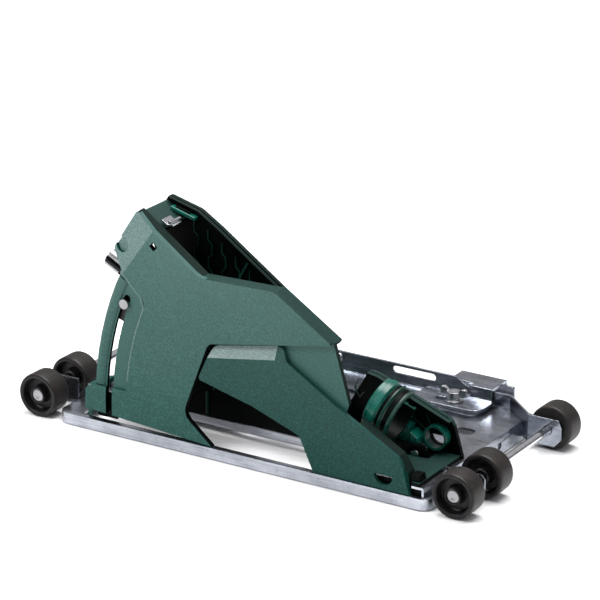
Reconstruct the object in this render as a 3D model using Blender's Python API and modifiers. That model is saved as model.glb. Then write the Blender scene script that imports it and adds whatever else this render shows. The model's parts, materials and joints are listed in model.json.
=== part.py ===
"""Wall chaser: a dust hood for a 125 mm cutting disc, swinging on a sheet-metal sled with six wheels.

Millimetres are used for every size and place, and turned into metres where the meshes are made.
X runs from the rear axle (0) towards the front (negative), Y from the near side (0) to the far side,
Z is up from the floor. The finished parts are moved so that the middle of the whole object's base
is the origin.
"""

from math import acos, atan2, cos, degrees, hypot, pi, radians, sin, sqrt, tan

import bmesh
import bpy
from mathutils import Matrix, Vector

MM = 0.001
GAP = 0.3  # clearance between pieces that touch
SLOT_PLAY = 0.4  # clearance of a bolt in the slot that it slides in

# Wheels and axles
WHEEL_R = 15.0
WHEEL_WIDTH = 16.6
AXLE_SPACING = 317.6
AXLE_R = 3.0
HUB_R = 5.6
INNER_WHEEL_Y = 36.6  # near face of the second wheel on each axle

# Whole object
BODY_WIDTH = 147.3  # near wheel face to far wheel face
JAW_REACH = 17.7  # how far the guide bracket's outer jaw stands out past the wheels

# Sled sheet metal
SHEET = 1.5
BEND = 0.15  # set-back of a flat sheet from the outer face of its turned-down edge
SKID_HEIGHT = 8.0
SKID_CLEARANCE = 0.5
SKID_RAIL = 5.0  # width of the strip under the hood's near wall
SKID_CORNER_R = 8.0
DISC_OPENING_FAR_Y = 44.0
DISC_OPENING_LENGTH = 250.0
DECK_Z = 15.0
DECK_NEAR_Y = 50.0
DECK_END_GAP = 6.5  # deck's rear flange to the rear wheels
RAIL_TOP_Z = 30.0
RAIL_LOW_Z = 25.0
RAIL_FOOT = 29.0
EAR_HALF = 9.0

# Hood
PIVOT_X, PIVOT_Z = -50.0, 18.0
PIVOT_PIN_R = 3.0
HOOD_NEAR_Y = 1.0
HOOD_WALL = 3.8
HOOD_FAR_Y = 43.5
HOOD_FAR_WALL = 3.0
HOOD_R = 221.0  # radius of the hood's front edge about the pivot
POCKET_R = 196.0  # inner radius of the recess round the depth slot
POCKET_DEPTH = 1.5
SLOT_R = 209.5
SLOT_WIDTH = 5.0
SLOT_TOP_DEG, SLOT_END_DEG = 157.6, 181.0
RIM = 3.0  # thickness of the returned edges
RIM_FRONT_DEPTH, RIM_REAR_DEPTH, RIM_END_DEPTH = 12.0, 14.0, 7.0
NOSE_SEAM_Y = 13.3
HOOD_BASE_Z = SKID_HEIGHT + 0.6

# Grinder collar
DISC_X, DISC_Z = -156.0, 41.0
COLLAR_BORE_R = 21.0
COLLAR_WALL = 3.0
COLLAR_LENGTH = 12.0
COLLAR_ROOM = 6.0  # free space round the collar in the deck's cut-out

# Rear housing
PANEL_NEAR_Y, PANEL_WALL = 1.2, 3.0
PANEL_RIM_DEPTH = 8.0
HOUSING_FAR_Y, HOUSING_WALL = 58.5, 3.0
SOCKET_R, SOCKET_WALL, SOCKET_LENGTH = 18.0, 2.5, 19.0
SOCKET_X, SOCKET_Y, SOCKET_Z = -63.4, 32.0, 48.5
SOCKET_TILT = 20.0

# Guide bracket and its wing screw
BRACKET_SHEET = 2.0
BRACKET_X0, BRACKET_X1 = -100.0, -48.0
BRACKET_NEAR_Y = BODY_WIDTH - 26.3
GUIDE_TRAVEL = 10.0
SCREW_X, SCREW_Y = -72.0, BODY_WIDTH - 16.3
SCREW_R = 2.5

# Depth stop and lock pin
STOP_BOLT_R = SLOT_WIDTH / 2 - SLOT_PLAY
LOCK_PIN_R = 6.0
LOCK_PIN_OUT = 14.0
LOCK_PIN_TRAVEL = 4.0

WIDTH = BODY_WIDTH + JAW_REACH
MIDDLE = Vector((-AXLE_SPACING / 2, WIDTH / 2, 0.0))
FRONT_AXLE_X = -AXLE_SPACING
SKID_REAR_X = -WHEEL_R - 2.0
SKID_FRONT_X = FRONT_AXLE_X + WHEEL_R + 1.6
OPENING_REAR_X = SKID_REAR_X - 17.0
OPENING_FRONT_X = OPENING_REAR_X - DISC_OPENING_LENGTH
DECK_REAR_X = -WHEEL_R - DECK_END_GAP
HOOD_SHIFT = SKID_REAR_X + 17.0  # larger wheels push the skid, and the hood on it, forwards
DECK_FRONT_X = -AXLE_SPACING - DECK_REAR_X
FAR_WHEEL_Y = BODY_WIDTH - WHEEL_WIDTH
LUG_Y = (WHEEL_WIDTH + INNER_WHEEL_Y) / 2
EAR_Y = FAR_WHEEL_Y - 2.0  # outer face of the axle ears inside the far wheels
RAIL_OUT_Y = BODY_WIDTH - GAP
RAIL_FOOT_Z = DECK_Z + GAP
BRACKET_Z = RAIL_FOOT_Z + SHEET + GAP

GREEN = (0.022, 0.095, 0.082)
DARK_GREEN = (0.012, 0.055, 0.045)
BLACK = (0.02, 0.02, 0.022)
ZINC = (0.62, 0.64, 0.67)
CHROME = (0.78, 0.79, 0.82)
FINISHES = {
    "shell": (GREEN, 0.5, 0.0),
    "inner": (DARK_GREEN, 0.4, 0.0),
    "wheel": (BLACK, 0.45, 0.0),
    "zinc": (ZINC, 0.3, 1.0),
    "steel": (CHROME, 0.22, 1.0),
    "black": (BLACK, 0.5, 0.0),
}


# ---------------------------------------------------------------- scene and materials


def clear_scene():
    for obj in list(bpy.data.objects):
        bpy.data.objects.remove(obj, do_unlink=True)


def collection(name):
    made = bpy.data.collections.new(name)
    bpy.context.scene.collection.children.link(made)
    return made


def paint(obj, finish):
    colour, roughness, metallic = FINISHES[finish]
    material = bpy.data.materials.new(obj.name + "_" + finish)
    material.use_nodes = True
    shader = material.node_tree.nodes["Principled BSDF"]
    shader.inputs["Base Color"].default_value = (*colour, 1.0)
    shader.inputs["Roughness"].default_value = roughness
    shader.inputs["Metallic"].default_value = metallic
    material.diffuse_color = (*colour, 1.0)
    obj.data.materials.clear()
    obj.data.materials.append(material)


def finish_part(obj, name, finish, origin=(0.0, 0.0, 0.0), smooth=False):
    """Names and paints a part, puts its origin at the given point and moves it to the object's frame."""
    origin = Vector(origin)
    obj.name = name
    obj.data.name = name
    obj.data.transform(Matrix.Translation(-origin * MM))
    obj.location = (origin - MIDDLE) * MM
    paint(obj, finish)
    if smooth:
        obj.data.shade_smooth()
        obj.data.set_sharp_from_angle(angle=radians(30))
    for old in list(obj.users_collection):
        old.objects.unlink(obj)
    PARTS.objects.link(obj)
    return obj


# ---------------------------------------------------------------- outlines


def arc(centre, radius, start, end, step=12.0):
    """Points of an arc in degrees, both ends included."""
    count = max(2, round(abs(end - start) / step) + 1)
    turns = [radians(start + (end - start) * i / (count - 1)) for i in range(count)]
    return [(centre[0] + radius * cos(a), centre[1] + radius * sin(a)) for a in turns]


def rounded(corners, step=22.0):
    """A closed outline from (u, v, radius) corners, each with its round."""
    points = []
    for i, (u, v, radius) in enumerate(corners):
        here = Vector((u, v))
        before = Vector(corners[i - 1][:2]) - here
        after = Vector(corners[(i + 1) % len(corners)][:2]) - here
        if radius <= 0:
            points.append((u, v))
            continue
        before.normalize()
        after.normalize()
        half = acos(max(-1.0, min(1.0, before.dot(after)))) / 2
        centre = here + (before + after).normalized() * (radius / sin(half))
        reach = radius / tan(half)
        first, last = here + before * reach, here + after * reach
        a0 = atan2(first.y - centre.y, first.x - centre.x)
        a1 = atan2(last.y - centre.y, last.x - centre.x)
        turn = (a1 - a0 + pi) % (2 * pi) - pi
        points += arc(centre, radius, degrees(a0), degrees(a0 + turn), step)
    return points


def strip(path, width):
    """A closed outline: the path and its copy set off by width to the left of its direction."""
    points = [Vector(p) for p in path]
    offset = []
    for i, here in enumerate(points):
        before = (here - points[i - 1]).normalized() if i else None
        after = (points[i + 1] - here).normalized() if i + 1 < len(points) else None
        run = (before or after) + (after or before)
        run.normalize()
        normal = Vector((-run.y, run.x))
        edge = before or after
        stretch = max(0.3, Vector((-edge.y, edge.x)).dot(normal))
        offset.append(here + normal * (width / stretch))
    return [tuple(p) for p in points] + [tuple(p) for p in reversed(offset)]


def circle(centre, radius, count=24):
    return [
        (centre[0] + radius * cos(2 * pi * i / count), centre[1] + radius * sin(2 * pi * i / count))
        for i in range(count)
    ]


def box_outline(u0, u1, v0, v1):
    return [(u0, v0), (u1, v0), (u1, v1), (u0, v1)]


# ---------------------------------------------------------------- solids

AXES = {
    "X": Matrix(((0, 0, 1, 0), (1, 0, 0, 0), (0, 1, 0, 0), (0, 0, 0, 1))),
    "Y": Matrix(((1, 0, 0, 0), (0, 0, -1, 0), (0, 1, 0, 0), (0, 0, 0, 1))),
    "Z": Matrix.Identity(4),
}


def close_seams(work):
    """Joins an open edge to the shorter open edges that lie along it."""
    for edge in [e for e in work.edges if e.is_boundary]:
        start, end = edge.verts
        run = end.co - start.co
        if run.length < 0.00002:
            continue
        on_edge = {}
        for other in work.edges:
            if other.is_boundary and other is not edge:
                for vert in other.verts:
                    along = (vert.co - start.co).dot(run) / run.length_squared
                    off = (start.co + run * along - vert.co).length
                    if vert not in edge.verts and 0.0 < along < 1.0 and off < 0.000004:
                        on_edge[vert] = along
        done = 0.0
        for vert, along in sorted(on_edge.items(), key=lambda pair: pair[1]):
            edge, made = bmesh.utils.edge_split(edge, start, (along - done) / (1.0 - done))
            made.co = vert.co
            start, done = made, along
            edge = next(e for e in made.link_edges if end in e.verts)
    bmesh.ops.remove_doubles(work, verts=work.verts, dist=0.000002)


def to_mesh(obj):
    """The object's evaluated shape as a plain mesh object in world space; the original goes."""
    bpy.context.view_layer.update()
    depsgraph = bpy.context.evaluated_depsgraph_get()
    mesh = bpy.data.meshes.new_from_object(obj.evaluated_get(depsgraph))
    mesh.transform(obj.matrix_world)
    work = bmesh.new()
    work.from_mesh(mesh)
    bmesh.ops.remove_doubles(work, verts=work.verts, dist=0.00001)
    close_seams(work)
    bmesh.ops.recalc_face_normals(work, faces=work.faces)
    work.to_mesh(mesh)
    work.free()
    mesh.materials.clear()
    solid = bpy.data.objects.new("solid", mesh)
    bpy.context.scene.collection.objects.link(solid)
    bpy.data.objects.remove(obj, do_unlink=True)
    return solid


def slab(axis, outline, low, high, holes=()):
    """A flat outline given thickness along an axis, from low to high, with holes through it.

    Outlines are (x, z) for axis Y, (x, y) for axis Z and (y, z) for axis X.
    """
    flat = bpy.data.curves.new("outline", "CURVE")
    flat.dimensions = "2D"
    flat.fill_mode = "BOTH"
    flat.extrude = (high - low) / 2 * MM
    for loop in (outline, *holes):
        spline = flat.splines.new("POLY")
        spline.points.add(len(loop) - 1)
        for point, (u, v) in zip(spline.points, loop):
            point.co = (u * MM, v * MM, 0.0, 1.0)
        spline.use_cyclic_u = True
    obj = bpy.data.objects.new("outline", flat)
    bpy.context.scene.collection.objects.link(obj)
    middle = (low + high) / 2 * MM
    shift = {"X": (middle, 0, 0), "Y": (0, middle, 0), "Z": (0, 0, middle)}[axis]
    obj.matrix_world = Matrix.Translation(shift) @ AXES[axis]
    return to_mesh(obj)


def rod(start, end, radius, sides=20):
    """A round bar between two points."""
    start, end = Vector(start), Vector(end)
    along = end - start
    bpy.ops.mesh.primitive_cylinder_add(
        vertices=sides, radius=radius * MM, depth=along.length * MM, location=(start + end) / 2 * MM
    )
    obj = bpy.context.object
    obj.rotation_mode = "QUATERNION"
    obj.rotation_quaternion = along.to_track_quat("Z", "Y")
    return to_mesh(obj)


def turned(profile, start, along, sides=28):
    """A solid of revolution. The profile is (radius, distance along the axis), outer side first."""
    work = bmesh.new()
    corners = [work.verts.new((r * MM, 0.0, h * MM)) for r, h in profile]
    for first, second in zip(corners, corners[1:] + corners[:1]):
        if first.co.x > 0 or second.co.x > 0:
            work.edges.new((first, second))
    mesh = bpy.data.meshes.new("profile")
    work.to_mesh(mesh)
    work.free()
    obj = bpy.data.objects.new("profile", mesh)
    bpy.context.scene.collection.objects.link(obj)
    screw = obj.modifiers.new("turn", "SCREW")
    screw.steps = screw.render_steps = sides
    screw.use_merge_vertices = True
    screw.merge_threshold = 0.000005
    screw.use_smooth_shade = False
    obj.rotation_mode = "QUATERNION"
    obj.rotation_quaternion = Vector(along).to_track_quat("Z", "Y")
    obj.location = Vector(start) * MM
    return to_mesh(obj)


def combine(base, others, operation):
    for other in others:
        step = base.modifiers.new(operation.lower(), "BOOLEAN")
        step.operation = operation
        step.object = other
    result = to_mesh(base)
    for other in others:
        bpy.data.objects.remove(other, do_unlink=True)
    return result


def fuse(base, *others):
    return combine(base, others, "UNION")


def cut(base, *others):
    return combine(base, others, "DIFFERENCE")


# ---------------------------------------------------------------- wheels and axles


def build_wheel(name, x, near_y):
    """A moulded wheel with a hollow face on both sides and a hub for the axle."""
    bore = AXLE_R + GAP
    edge, rim, web = 1.6, 2.6, 3.8
    deep = WHEEL_WIDTH / 2 - web / 2
    hub_in = 2.0
    half = [
        (WHEEL_R, WHEEL_WIDTH / 2),
        (WHEEL_R, edge),
        (WHEEL_R - edge, 0.0),
        (WHEEL_R - edge - rim, 0.0),
        (WHEEL_R - edge - rim - 0.6, deep),
        (HUB_R + 0.4, deep),
        (HUB_R, hub_in),
        (bore, hub_in),
    ]
    profile = half + [(r, WHEEL_WIDTH - h) for r, h in reversed(half[1:])]
    wheel = turned(profile, (x, near_y, WHEEL_R), (0, 1, 0))
    finish_part(wheel, name, "wheel", (x, near_y + WHEEL_WIDTH / 2, WHEEL_R), smooth=True)


def build_wheels():
    rows = (("near", 0.0), ("inner", INNER_WHEEL_Y), ("far", FAR_WHEEL_Y))
    for end, x in (("rear", 0.0), ("front", FRONT_AXLE_X)):
        for place, near_y in rows:
            build_wheel(f"wheel_{end}_{place}", x, near_y)


def build_axles():
    """Axle rods with a push-on cap in the hollow of each outer wheel."""
    start, end = 1.2, BODY_WIDTH - 1.2
    chamfer = 0.6
    for place, x in (("rear", 0.0), ("front", FRONT_AXLE_X)):
        length = end - start
        profile = [
            (AXLE_R, chamfer),
            (AXLE_R, length - chamfer),
            (AXLE_R - chamfer, length),
            (0.0, length),
            (0.0, 0.0),
            (AXLE_R - chamfer, 0.0),
        ]
        axle = turned(profile, (x, start, WHEEL_R), (0, 1, 0), 20)
        finish_part(axle, f"axle_{place}", "steel", (x, start, WHEEL_R), smooth=True)
        for side, y, way in (("near", 2.0 - GAP, -1), ("far", BODY_WIDTH - 2.0 + GAP, 1)):
            ring = [(HUB_R - 0.8, 0.0), (HUB_R - 1.4, 0.9), (AXLE_R + 0.25, 0.9), (AXLE_R + 0.25, 0.0)]
            cap = turned(ring, (x, y, WHEEL_R), (0, way, 0), 20)
            finish_part(cap, f"axle_cap_{place}_{side}", "steel", (x, y, WHEEL_R), smooth=True)


# ---------------------------------------------------------------- sled


def lug(root, axle_x, low, sheet_top):
    """An upright sheet lug with a hole for the axle, grown from a sheet's turned-down end."""
    way = 1 if axle_x > root else -1
    free = axle_x + way * EAR_HALF
    inside, outside = root - way * SHEET / 2, root + way * SHEET / 2
    step = sheet_top - SHEET / 2
    high = 22.0
    outline = [
        (inside, low),
        (free - way * 4.0, low),
        (free, low + 4.0),
        (free, high - 2.5),
        (free - way * 2.5, high),
        (outside, high),
        (outside, step),
        (inside, step),
    ]
    hole = circle((axle_x, WHEEL_R), AXLE_R + GAP, 20)
    return slab("Y", outline, LUG_Y - SHEET, LUG_Y, [hole])


def build_skid():
    """The low frame round the disc opening: a flat strip with a turned-down edge and the front lug."""
    far_y = DECK_NEAR_Y - 1.0
    r = SKID_CORNER_R
    b = BEND
    outer = rounded(
        [
            (SKID_FRONT_X + b, b, r - b),
            (SKID_REAR_X - b, b, r - b),
            (SKID_REAR_X - b, far_y, 0),
            (SKID_FRONT_X + b, far_y, 0),
        ]
    )
    opening = rounded(
        [
            (OPENING_FRONT_X, SKID_RAIL, 3),
            (OPENING_REAR_X, SKID_RAIL, 3),
            (OPENING_REAR_X, DISC_OPENING_FAR_Y, 3),
            (OPENING_FRONT_X, DISC_OPENING_FAR_Y, 3),
        ]
    )
    top = slab("Z", outer, SKID_HEIGHT - SHEET, SKID_HEIGHT, [opening])
    path = (
        [(SKID_FRONT_X, far_y - b)]
        + arc((SKID_FRONT_X + r, r), r, 180, 270, 15)
        + arc((SKID_REAR_X - r, r), r, 270, 360, 15)
        + [(SKID_REAR_X, far_y - b)]
    )
    edge = slab("Z", strip(path, SHEET), SKID_CLEARANCE, SKID_HEIGHT - b)
    far_lip = slab(
        "Z",
        box_outline(
            OPENING_FRONT_X + 4, OPENING_REAR_X - 4, DISC_OPENING_FAR_Y + b, DISC_OPENING_FAR_Y + SHEET
        ),
        2.6,
        SKID_HEIGHT - SHEET / 2,
    )
    front = lug(SKID_FRONT_X, FRONT_AXLE_X, 4.0, SKID_HEIGHT)
    skid = fuse(top, edge, far_lip, front)
    finish_part(skid, "skid_frame", "zinc")


def deck_outline():
    """The deck from above: its near edge has the cut-out for the grinder's head and a rear tongue."""
    reach = COLLAR_BORE_R + COLLAR_WALL + COLLAR_ROOM
    x0, x1 = DECK_FRONT_X + BEND, DECK_REAR_X - BEND
    tongue = OPENING_REAR_X + 4.0
    near = DECK_NEAR_Y + BEND
    return (
        [(x0, near)]
        + arc((DISC_X + HOOD_SHIFT, near), reach, 180, 0, 15)
        + [(tongue, near), (tongue, 2.0), (x1, 2.0), (x1, BODY_WIDTH - GAP), (x0, BODY_WIDTH - GAP)]
    )


def build_deck():
    """The raised plate: turned-down ends, a step down to the skid, and the rear axle lug."""
    hole = circle((-118.0, 85.0), 5.0, 16)
    slot = rounded([(-52, 92.5, 4), (-38, 92.5, 4), (-38, 102.5, 4), (-52, 102.5, 4)])
    plate = slab("Z", deck_outline(), DECK_Z - SHEET, DECK_Z, [hole, slot])
    low, high = 1.5, DECK_Z - BEND
    rear_holes = [circle((y, 8.0), 2.4, 12) for y in (75.0, 102.0)]
    foot_z = SKID_HEIGHT + GAP
    rear_outline = [
        (2.5, foot_z),
        (DECK_NEAR_Y - 0.4, foot_z),
        (DECK_NEAR_Y - 0.4, low),
        (BODY_WIDTH - 3.0, low),
        (BODY_WIDTH - 3.0, high),
        (2.5, high),
    ]
    rear = slab("X", rear_outline, DECK_REAR_X - SHEET, DECK_REAR_X, rear_holes)
    front_outline = box_outline(DECK_NEAR_Y + 1.0, BODY_WIDTH - 3.0, low, high)
    front = slab("X", front_outline, DECK_FRONT_X, DECK_FRONT_X + SHEET)
    cutout = COLLAR_BORE_R + COLLAR_WALL + COLLAR_ROOM + 3.0
    steps = []
    for x0, x1 in (
        (DECK_FRONT_X + 4, DISC_X + HOOD_SHIFT - cutout),
        (DISC_X + HOOD_SHIFT + cutout, OPENING_REAR_X),
    ):
        outline = [
            (DECK_NEAR_Y - 5, foot_z),
            (DECK_NEAR_Y + SHEET, foot_z),
            (DECK_NEAR_Y + SHEET, high - 0.3),
            (DECK_NEAR_Y, high - 0.3),
            (DECK_NEAR_Y, foot_z + SHEET),
            (DECK_NEAR_Y - 5, foot_z + SHEET),
        ]
        steps.append(slab("X", outline, x0, x1))
    ear_y = HOOD_FAR_Y + 1.2
    pin_x = PIVOT_X + HOOD_SHIFT
    ear_outline = rounded(
        [
            (pin_x - 9, foot_z + 0.6, 0),
            (pin_x + 9, foot_z + 0.6, 0),
            (pin_x + 6, PIVOT_Z + 6.5, 5),
            (pin_x - 6, PIVOT_Z + 6.5, 5),
        ]
    )
    pin_hole = circle((pin_x, PIVOT_Z), PIVOT_PIN_R + GAP, 20)
    ear = slab("Y", ear_outline, ear_y, ear_y + SHEET, [pin_hole])
    deck = fuse(plate, rear, front, *steps, ear, lug(DECK_REAR_X, 0.0, foot_z, DECK_Z))
    finish_part(deck, "deck_plate", "zinc")


def build_side_rail():
    """The upright angle along the far side; both its ends bend inwards and carry the far wheels."""
    jog = RAIL_OUT_Y - EAR_Y
    bend_rear, bend_front = -37.0, -AXLE_SPACING + 37.0
    path = [
        (FRONT_AXLE_X - EAR_HALF, EAR_Y),
        (bend_front - 23.0, EAR_Y),
        (bend_front, EAR_Y + jog),
        (bend_rear, EAR_Y + jog),
        (bend_rear + 23.0, EAR_Y),
        (EAR_HALF + 1.0, EAR_Y),
    ]
    wall = slab("Z", strip(path, -SHEET), 4.0, RAIL_TOP_Z)
    side = [
        (FRONT_AXLE_X - 20, 40.0),
        (FRONT_AXLE_X - 20, 23.0),
        (FRONT_AXLE_X + 20, 23.0),
        (FRONT_AXLE_X + 34, RAIL_TOP_Z),
        (-78.7, RAIL_TOP_Z),
        (-71.0, RAIL_LOW_Z),
        (-37.0, RAIL_LOW_Z),
        (-14.0, 23.0),
        (8.0, 23.0),
        (10.2, 17.0),
        (20.0, 17.0),
        (20.0, 40.0),
    ]
    near, far = RAIL_OUT_Y - 2 * RAIL_FOOT, RAIL_OUT_Y + 10.0
    above = slab("Y", side, near, far)
    under = slab(
        "X", box_outline(near, far, 0, RAIL_FOOT_Z), DECK_FRONT_X - GAP, DECK_REAR_X + GAP
    )
    chamfers = [
        slab("Y", [(4.0, 3.0), (12.0, 3.0), (12.0, 12.0)], near, far),
        slab("Y", [(FRONT_AXLE_X - 4, 3), (FRONT_AXLE_X - 12, 12), (FRONT_AXLE_X - 12, 3)], near, far),
    ]
    slots = [
        slab("Y", rounded([(-127, 23, 2.4), (-94, 23, 2.4), (-94, 28, 2.4), (-127, 28, 2.4)]), near, far),
        slab("Y", rounded([(-250, 23, 2.4), (-217, 23, 2.4), (-217, 28, 2.4), (-250, 28, 2.4)]), near, far),
    ]
    bores = [
        rod((x, near, WHEEL_R), (x, far, WHEEL_R), AXLE_R + GAP) for x in (0.0, FRONT_AXLE_X)
    ]
    wall = cut(wall, above, under, *chamfers, *slots, *bores)
    foot = slab(
        "Z",
        rounded(
            [
                (bend_front + 3, RAIL_OUT_Y - RAIL_FOOT, 4),
                (-51, RAIL_OUT_Y - RAIL_FOOT, 4),
                (-51, RAIL_OUT_Y - SHEET / 2, 0),
                (bend_front + 3, RAIL_OUT_Y - SHEET / 2, 0),
            ]
        ),
        RAIL_FOOT_Z,
        RAIL_FOOT_Z + SHEET,
    )
    rail = fuse(wall, foot)
    rail = cut(rail, rod((SCREW_X, SCREW_Y, 10), (SCREW_X, SCREW_Y, 20), SCREW_R + GAP))
    finish_part(rail, "side_rail", "zinc")


def build_rivets():
    """Dome-headed rivets on the inner face of the side rail."""
    y = RAIL_OUT_Y - SHEET - GAP
    for number, x in enumerate((-169.0, -205.0, -262.0), 1):
        profile = [(3.2, 0.0), (3.0, 0.9), (2.0, 1.8), (0.0, 2.2), (0.0, 0.0)]
        rivet = turned(profile[::-1], (x, y, 25.5), (0, -1, 0), 16)
        finish_part(rivet, f"rail_rivet_{number}", "steel", (x, y, 25.5), smooth=True)


# ---------------------------------------------------------------- guide bracket


def build_guide_bracket():
    """A plate on the rail's foot that steps over the low end of the rail to an outer jaw."""
    t = BRACKET_SHEET
    z = BRACKET_Z
    rise_y = RAIL_OUT_Y - SHEET - 0.8
    plate = slab(
        "Z",
        rounded(
            [
                (BRACKET_X0, BRACKET_NEAR_Y, 5),
                (BRACKET_X1, BRACKET_NEAR_Y, 9),
                (BRACKET_X1, rise_y, 0),
                (BRACKET_X0, rise_y, 0),
            ]
        ),
        z,
        z + t,
    )
    neck0, neck1 = -66.0, -50.0
    over_z = RAIL_LOW_Z + GAP
    riser = slab("Y", box_outline(neck0, neck1, z + t / 2, over_z + t), rise_y - t, rise_y)
    outer_y = WIDTH
    bridge = slab("Z", box_outline(neck0, neck1, rise_y - t / 2, outer_y - t / 2), over_z, over_z + t)
    wing = slab(
        "Z", box_outline(neck0 - 18, neck1, RAIL_OUT_Y + 0.8, outer_y - t / 2), over_z, over_z + t
    )
    jaw = slab(
        "Y",
        rounded(
            [
                (neck0 - 18, 12.0, 3),
                (neck1 + 6, 12.0, 3),
                (neck1 + 6, over_z - 2.0, 1),
                (neck1, over_z - 2.0, 0),
                (neck1, over_z + t * 0.75, 0),
                (neck0 - 18, over_z + t * 0.75, 0),
            ]
        ),
        outer_y - t,
        outer_y,
    )
    bracket = fuse(plate, riser, bridge, wing, jaw)
    room = SCREW_R + SLOT_PLAY
    slot = slab(
        "Z",
        rounded(
            [
                (SCREW_X - room - GUIDE_TRAVEL, SCREW_Y - room, room * 0.98),
                (SCREW_X + room, SCREW_Y - room, room * 0.98),
                (SCREW_X + room, SCREW_Y + room, room * 0.98),
                (SCREW_X - room - GUIDE_TRAVEL, SCREW_Y + room, room * 0.98),
            ]
        ),
        z - 1,
        z + t + 1,
    )
    finish_part(cut(bracket, slot), "guide_bracket", "zinc", (SCREW_X, SCREW_Y, z))


def build_wing_screw():
    """The clamp screw with two wings, and the washer under it."""
    top = BRACKET_Z + BRACKET_SHEET
    washer_z = top + GAP
    washer = turned(
        [(6.5, 0.0), (6.5, 1.2), (SCREW_R + GAP, 1.2), (SCREW_R + GAP, 0.0)],
        (SCREW_X, SCREW_Y, washer_z),
        (0, 0, 1),
        20,
    )
    finish_part(washer, "screw_washer", "steel", (SCREW_X, SCREW_Y, washer_z))
    hub_z = washer_z + 1.2 + GAP
    hub = rod((SCREW_X, SCREW_Y, hub_z), (SCREW_X, SCREW_Y, hub_z + 5.0), 4.6, 18)
    stem = rod((SCREW_X, SCREW_Y, RAIL_FOOT_Z + GAP), (SCREW_X, SCREW_Y, hub_z + 1.0), SCREW_R, 16)
    wings = []
    for way in (-1, 1):
        outline = rounded(
            [
                (SCREW_X + way * 2.5, hub_z + 0.6, 0),
                (SCREW_X + way * 9.0, hub_z + 1.6, 1.5),
                (SCREW_X + way * 10.5, hub_z + 7.6, 2.0),
                (SCREW_X + way * 6.5, hub_z + 7.6, 2.0),
                (SCREW_X + way * 2.5, hub_z + 4.2, 0),
            ]
        )
        wings.append(slab("Y", outline, SCREW_Y - 1.3, SCREW_Y + 1.3))
    screw = fuse(hub, stem, *wings)
    finish_part(screw, "wing_screw", "steel", (SCREW_X, SCREW_Y, hub_z))


# ---------------------------------------------------------------- hood


def on_pivot(radius, angle):
    return (PIVOT_X + radius * cos(radians(angle)), PIVOT_Z + radius * sin(radians(angle)))


def pivot_angle(radius, z):
    """The angle about the pivot, in front of it, where an arc of that radius is at height z."""
    return 180.0 - degrees(atan2(z - PIVOT_Z, sqrt(radius**2 - (z - PIVOT_Z) ** 2)))


LEDGE_Z = 33.0
NOSE_Z = 117.4


def near_wall_outline():
    """The hood's near wall: boss, front arc, nose, stepped top edge and the slanted window."""
    front = arc(
        (PIVOT_X, PIVOT_Z), HOOD_R, pivot_angle(HOOD_R, LEDGE_Z), pivot_angle(HOOD_R, NOSE_Z), 3.2
    )
    boss = rounded([(-279.0, HOOD_BASE_Z, 1), (-278.2, LEDGE_Z - 3.5, 3.5), front[0] + (0,)])[:-1]
    rest = rounded(
        [
            (-254.8, 130.5, 4),
            (-236.2, 158.6, 2),
            (-187.0, 122.8, 14),
            (-130.0, 124.2, 10),
            (-87.4, 96.6, 1),
            (-180.5, 79.3, 6),
            (-200.5, 27.0, 9),
            (-178.5, HOOD_BASE_Z, 0),
        ]
    )
    return boss + front + rest


def tongue_outline():
    """The recessed panel behind the rear of the near wall, its lower edge behind the leg panel."""
    return [
        (-127.0, 99.0),
        (-94.0, 99.0),
        (-87.8, 94.5),
        (-77.0, 58.0),
        (-79.5, 50.5),
        (-119.0, 70.5),
        (-127.0, 79.0),
    ]


def pocket_cutter():
    """The recess round the depth slot, between two arcs, closed above by a straight edge."""
    centre = (PIVOT_X, PIVOT_Z)
    inner = arc(centre, POCKET_R, pivot_angle(POCKET_R, LEDGE_Z), pivot_angle(POCKET_R, 98.0), 4)
    outer = arc(centre, HOOD_R + 4, pivot_angle(HOOD_R, NOSE_Z), pivot_angle(HOOD_R + 4, LEDGE_Z), 4)
    return slab("Y", inner + outer, HOOD_NEAR_Y - 1, HOOD_NEAR_Y + POCKET_DEPTH)


def slot_outline(width):
    """A slot along an arc about the pivot, with round ends."""
    half = width / 2
    centre = (PIVOT_X, PIVOT_Z)
    points = arc(centre, SLOT_R + half, SLOT_TOP_DEG, SLOT_END_DEG, 3)
    points += arc(on_pivot(SLOT_R, SLOT_END_DEG), half, SLOT_END_DEG, SLOT_END_DEG + 180, 36)[1:-1]
    points += arc(centre, SLOT_R - half, SLOT_END_DEG, SLOT_TOP_DEG, 3)
    points += arc(on_pivot(SLOT_R, SLOT_TOP_DEG), half, SLOT_TOP_DEG + 180, SLOT_TOP_DEG + 360, 36)[1:-1]
    return points


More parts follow.
